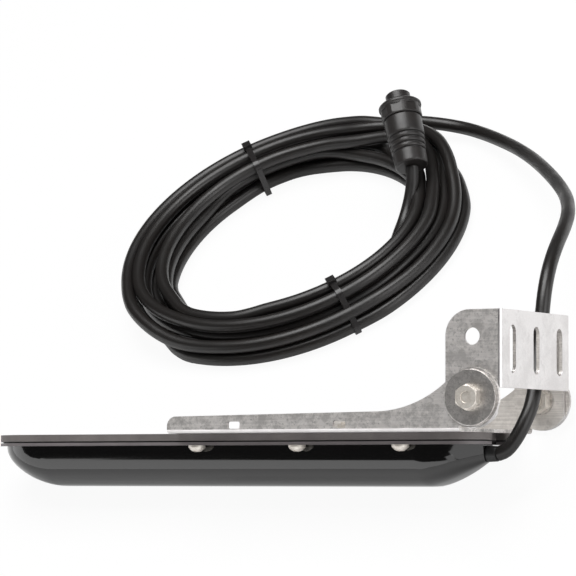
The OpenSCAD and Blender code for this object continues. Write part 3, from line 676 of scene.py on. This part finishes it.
@dataclass
class CableRun:
    """The cable from the stern to the plug, as one curve, with its boot and ties. Its length is in metres."""

    shop: Workshop
    diameter: float = 6.4
    jacket_bulge: float = 1.03
    jacket_steps: int = 5
    length: float = 4.1
    tie_edge: float = 0.42
    boot_edge: float = 0.2
    outlet: Point = (119.2, -23.784, 17.928)
    centre: tuple[float, float] = (-54.8, 144.3)
    oval: float = 0.02
    column_r: tuple[float, float, float] = (66.6, 75.8, 85.0)
    row_z: tuple[float, float, float] = (4.5, 11.0, 17.5)
    nested_seat: tuple[int, int] = (2, 1)
    nested_r: float = 83.5
    start_angle: float = 84.0
    end_angle: float = -25.0
    steps_per_turn: int = 60
    steps_per_point: int = 3
    lead: Sequence[Point] = (
        (123.2, -22.4, 19), (127, -18.6, 21.8), (130, -12.2, 25.2), (131.4, -3, 28),
        (130, 9.2, 30.8), (128.6, 18.9, 34.5), (128, 28.7, 39.1), (128, 37.6, 44.6), (127.8, 46.8, 50),
        (127, 57, 53), (125.2, 69.1, 53), (122.9, 82.4, 51), (120, 96.9, 47.6), (114.9, 114.1, 42.8),
        (106.5, 132.1, 37.2), (95.4, 149.6, 31.4), (80.9, 169.1, 25), (64.5, 188.7, 18.8),
        (48.6, 205.1, 13.6), (34.2, 217.6, 9.8), (21.2, 227.1, 7.4), (9.5, 233.6, 6.4),
        (-0.2, 236.2, 7.2), (-8.7, 236.3, 9.2), (-16.4, 234.8, 11.8), (-24.2, 232.1, 14.6),
        (-32.2, 229.2, 16),
    )
    tail: Sequence[Point] = (
        (9, 126, 11), (6.4, 134.4, 11.1), (5, 142.4, 11.3), (4.5, 150.2, 11.8), (4.7, 156, 13.4),
        (5.4, 161, 16.2), (6.2, 165.6, 19.8), (6.6, 170, 23.8), (6, 175, 28.4),
    )
    laps: Sequence[Lap] = (
        Lap(2, 1, 60.0, 84.0), Lap(1, 2, 55.0, 84.0), Lap(0, 2, 55.0, 84.0), Lap(1, 1, 55.0, 84.0),
        Lap(2, 0, 50.0, 76.0), Lap(1, 0, 25.0, 50.0), Lap(0, 0, 0.0, 25.0), Lap(0, 1),
    )
    sways: Sequence[Sway] = (
        Sway(0, 0.0, 258.0, 42.0, out=1.3, lift=6.3),
        Sway(0, 205.0, 265.0, 22.0, out=1.4),
        Sway(0, 315.0, 390.0, 30.0, out=0.6, lift=-1.0),
        Sway(0, 365.0, 450.0, 45.0, lift=6.5),
        Sway(0, 60.0, 118.0, 25.0, out=1.2),
        Sway(0, 385.0, 450.0, 28.0, out=3.1),
        Sway(1, 40.0, 250.0, 40.0, out=3.2),
        Sway(1, 360.0, 402.0, 18.0, out=-1.7),
        Sway(1, 392.0, 450.0, 26.0, out=4.8),
        Sway(2, 60.0, 110.0, 25.0, out=2.0),
        Sway(2, 228.0, 285.0, 18.0, out=3.0),
        Sway(2, 378.0, 450.0, 22.0, out=2.6),
        Sway(2, 400.0, 450.0, 22.0, lift=-4.0),
        Sway(3, 60.0, 250.0, 35.0, out=2.0),
        Sway(3, 340.0, 450.0, 25.0, out=2.2),
        Sway(3, 385.0, 450.0, 25.0, out=6.2),
        Sway(4, 200.0, 252.0, 20.0, out=-5.4),
        Sway(4, 310.0, 390.0, 15.0, out=1.2),
        Sway(5, 200.0, 252.0, 20.0, out=-2.6),
        Sway(5, 300.0, 385.0, 25.0, out=2.8),
        Sway(6, 95.0, 145.0, 20.0, out=2.0),
        Sway(6, 203.0, 250.0, 18.0, out=-3.0),
        Sway(7, 75.0, 165.0, 30.0, out=4.4),
    )
    wobble: float = 1.2
    wobble_waves: int = 3
    wobble_angle: float = 115.0

    def _seat(self, lap: Lap) -> Vector:
        """Gives a turn's seat in the bundle.

        Args:
            lap: The turn.

        Returns:
            Radius and height in mm.
        """
        nested = (lap.column, lap.row) == self.nested_seat
        radius = self.nested_r if nested else self.column_r[lap.column]
        return Vector((radius, self.row_z[lap.row]))

    @staticmethod
    def _ease(value: float) -> float:
        """Returns a smooth step from 0 to 1."""
        t = min(max(value, 0.0), 1.0)
        return t * t * (3.0 - 2.0 * t)

    def _bundle(self, turned: float) -> Vector:
        """Gives the cable's radius and height in the coil.

        Args:
            turned: Degrees round the coil, counted on through every turn.

        Returns:
            Radius and height in mm.
        """
        place = self._seat(self.laps[0])
        innermost = 0.0
        for turn, (lap, after) in enumerate(zip(self.laps, self.laps[1:])):
            past = turned - FULL_TURN * (turn + 1)
            share = self._ease((past - lap.leave) / (lap.settle - lap.leave))
            place += (self._seat(after) - self._seat(lap)) * share
            innermost += ((after.column == 0) - (lap.column == 0)) * share
        for sway in self.sways:
            angle = turned - FULL_TURN * sway.turn
            rise = self._ease((angle - sway.start) / sway.slope)
            fall = self._ease((sway.end - angle) / sway.slope)
            place += Vector((sway.out, sway.lift)) * min(rise, fall)
        wave = math.cos(math.radians(self.wobble_waves * (turned - self.wobble_angle)))
        place.x += self.wobble * innermost * wave
        place.x *= 1.0 + self.oval * math.sin(math.radians(2.0 * turned))
        return place

    def _route(self) -> list[Vector]:
        """Gives the whole route's points.

        Returns:
            The points, in metres.
        """
        span = FULL_TURN * len(self.laps) - self.start_angle + self.end_angle
        count = round(span / FULL_TURN * self.steps_per_turn)
        route = [Vector(self.outlet)] + [Vector(p) for p in self.lead]
        for i in range(count + 1):
            turned = self.start_angle + span * i / count
            radius, height = self._bundle(turned)
            angle = math.radians(turned)
            route.append(Vector((self.centre[0] + radius * math.cos(angle),
                                 self.centre[1] + radius * math.sin(angle), height)))
        route += [Vector(p) for p in self.tail]
        return [p * MM for p in route]

    def _line(self) -> list[Vector]:
        """Runs a smooth line through the route's points.

        Returns:
            The line's points, in metres.
        """
        route = self._route()
        last = len(route) - 1
        line = []
        for i in range(last):
            a, b, c, d = route[max(i - 1, 0)], route[i], route[i + 1], route[min(i + 2, last)]
            for k in range(self.steps_per_point):
                t = k / self.steps_per_point
                line.append(0.5 * (2 * b + (c - a) * t + (2 * a - 5 * b + 4 * c - d) * t ** 2
                                   + (3 * b - a - 3 * c + d) * t ** 3))
        return line + [route[last]]

    def _draw(self, line: Sequence[Vector]) -> Piece:
        """Draws the cable as one round curve.

        Args:
            line: The points it follows, in metres.

        Returns:
            The cable.
        """
        curve = bpy.data.curves.new("cable", "CURVE")
        curve.dimensions = "3D"
        curve.bevel_depth = self.diameter / 2 * self.jacket_bulge * MM
        curve.bevel_resolution = self.jacket_steps
        curve.use_fill_caps = True
        spline = curve.splines.new("POLY")
        spline.points.add(len(line) - 1)
        for knot, place in zip(spline.points, line):
            knot.co = (*place, 1.0)
        spline.use_smooth = True
        cable = bpy.data.objects.new("cable", curve)
        bpy.context.scene.collection.objects.link(cable)
        measured = sum((b - a).length for a, b in zip(line, line[1:]))
        LOG.info("drew the cable, %.3f m along its line", measured)
        return cable

    def build(self, plug: Sequence[Piece]) -> None:
        """Draws the cable and refines the boot and the ties.

        Args:
            plug: The plug's pieces, which the cable ends in; not used.
        """
        cable = self._draw(self._line())
        self.shop.painter.paint(cable, Finishes.CABLE)
        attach(cable, ROOT_BODY)
        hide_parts("lead_cable", "cable_coil", "tail_cable")
        ties = self.shop.refine("coil_ties", "tie_pair", "tie", Finishes.TIE, bevel=self.tie_edge,
                                segments=ROUND_STEPS)
        self.shop.refine("cable_gland", "stern_boot", "seal_rubber", Finishes.RUBBER, bevel=self.boot_edge)
        [v * MM for v in self.outlet]


@dataclass
class Plug:
    """The round plug on the cable's end."""

    shop: Workshop
    grip_edge: float = 0.25
    collar_edge: float = 0.2
    nose_edge: float = 0.2
    pin_edge: float = 0.12

    def build(self) -> list[Piece]:
        """Refines the plug's pieces.

        Returns:
            The pieces.
        """
        refine = self.shop.refine
        return [
            refine("plug_body", "plug_grip", "plug", Finishes.PLUG, bevel=self.grip_edge,
                   segments=ROUND_STEPS),
            refine("locking_collar", "plug_collar", "plug", Finishes.PLUG, bevel=self.collar_edge),
            refine("plug_barrel", "plug_nose", "plug", Finishes.PLUG, bevel=self.nose_edge),
            refine("contact_pins", "plug_contacts", "contact", Finishes.CONTACT, bevel=self.pin_edge),
            refine("plug_seal", "plug_ring", "seal_rubber", Finishes.RUBBER),
        ]


@dataclass(frozen=True)
class Lamp:
    """A soft lamp: where it hangs, what it faces, its width and height, all in metres, and its watts."""

    name: str
    place: Point
    aim: Point
    size: tuple[float, float]
    power: float


@dataclass
class Studio:
    """The table, the soft lights and the camera. The table's size and the view's depth are in metres."""

    eye: Point = (755.43, -1005.64, 911.9)
    way: Point = (-0.486984, 0.678208, -0.550346)
    up: Point = (0.02695, 0.641479, 0.766667)
    lens: float = 209.2
    sensor: float = 36.0
    view_depth: float = 100.0
    table_size: float = 40.0
    table_grey: Colour = (0.86, 0.86, 0.86)
    table_seen: float = 0.94
    table_mirrored: float = 0.3
    air_glow: float = 0.06
    lamps: Sequence[Lamp] = (
        Lamp("overhead", (0.0, 0.35, 1.5), (0.0, 0.1, 0.0), (1.2, 1.2), 27.5),
        Lamp("stern_side", (1.4, 0.1, 0.7), (0.12, 0.0, 0.05), (1.0, 1.0), 7.5),
        Lamp("front_card", (-0.31, -1.23, 0.25), (0.34, -0.22, 0.25), (4.4, 0.5), 10.8),
        Lamp("stern_corner", (1.61, -2.117, 0.5), (0.1, 0.0, 0.02), (0.43, 1.0), 1.8),
        Lamp("stern_front", (2.64, -1.18, 0.8), (0.1, 0.0, 0.02), (2.6, 1.6), 16.0),
    )

    def _camera(self) -> None:
        """Places the camera at the photo's viewing angle."""
        data = bpy.data.cameras.new("camera")
        data.lens = self.lens
        data.sensor_width = self.sensor
        data.clip_end = self.view_depth
        camera = bpy.data.objects.new("camera", data)
        back = -Vector(self.way).normalized()
        right = Vector(self.up).cross(back).normalized()
        top = back.cross(right)
        turn = Matrix((right, top, back)).transposed().to_4x4()
        camera.matrix_world = Matrix.Translation(Vector(self.eye) * MM) @ turn
        bpy.context.scene.collection.objects.link(camera)
        bpy.context.scene.camera = camera

    def _table_white(self) -> bpy.types.Material:
        """Makes the table's material, pale to the camera and in reflections, with a faint shadow.

        Returns:
            The material.
        """
        material = bpy.data.materials.new("table_white")
        material.use_nodes = True
        tree = material.node_tree
        tree.nodes.clear()
        cloth = tree.nodes.new("ShaderNodeBsdfDiffuse")
        cloth.inputs["Color"].default_value = (*self.table_grey, 1.0)
        glow = tree.nodes.new("ShaderNodeEmission")
        glow.inputs["Strength"].default_value = 1.0
        path = tree.nodes.new("ShaderNodeLightPath").outputs
        mirrored = maths(tree, "MAXIMUM", path["Is Glossy Ray"], path["Is Transmission Ray"])
        dimmed = maths(tree, "MULTIPLY", mirrored, self.table_mirrored)
        direct = maths(tree, "MULTIPLY", path["Is Camera Ray"], self.table_seen)
        mix = tree.nodes.new("ShaderNodeMixShader")
        tree.links.new(maths(tree, "MAXIMUM", direct, dimmed), mix.inputs["Fac"])
        tree.links.new(cloth.outputs["BSDF"], mix.inputs[1])
        tree.links.new(glow.outputs["Emission"], mix.inputs[2])
        out = tree.nodes.new("ShaderNodeOutputMaterial")
        tree.links.new(mix.outputs["Shader"], out.inputs["Surface"])
        return material

    def _table(self) -> None:
        """Lays the pale table."""
        bpy.ops.object.select_all(action="DESELECT")
        bpy.ops.mesh.primitive_plane_add(size=self.table_size, location=(0.0, 0.0, 0.0))
        plane = bpy.context.object
        plane.name = "table"
        plane.data.materials.append(self._table_white())

    @staticmethod
    def _hang(lamp: Lamp) -> None:
        """Hangs one soft lamp.

        Args:
            lamp: The lamp.
        """
        data = bpy.data.lights.new(lamp.name, "AREA")
        data.shape = "RECTANGLE"
        data.size, data.size_y = lamp.size
        data.energy = lamp.power
        light = bpy.data.objects.new(lamp.name, data)
        light.location = lamp.place
        light.rotation_euler = (Vector(lamp.aim) - Vector(lamp.place)).to_track_quat("-Z", "Y").to_euler()
        bpy.context.scene.collection.objects.link(light)

    def _air(self) -> None:
        """Gives the room a faint even light."""
        world = bpy.data.worlds.new("studio")
        world.use_nodes = True
        background = world.node_tree.nodes["Background"]
        background.inputs["Color"].default_value = (1.0, 1.0, 1.0, 1.0)
        background.inputs["Strength"].default_value = self.air_glow
        bpy.context.scene.world = world

    def build(self) -> None:
        """Sets up the table, the lamps, the air and the camera."""
        self._table()
        for lamp in self.lamps:
            self._hang(lamp)
        self._air()
        bpy.context.scene.view_settings.view_transform = "Standard"
        self._camera()


def main() -> None:
    """Builds the object's looks and its studio."""
    logging.basicConfig(level=logging.INFO)
    shop = Workshop(Painter())
    plug = Plug(shop).build()
    CableRun(shop).build(plug)
    Hull(shop).build()
    TiltBracket(shop).build()
    Studio().build()


if __name__ == "__main__":
    main()
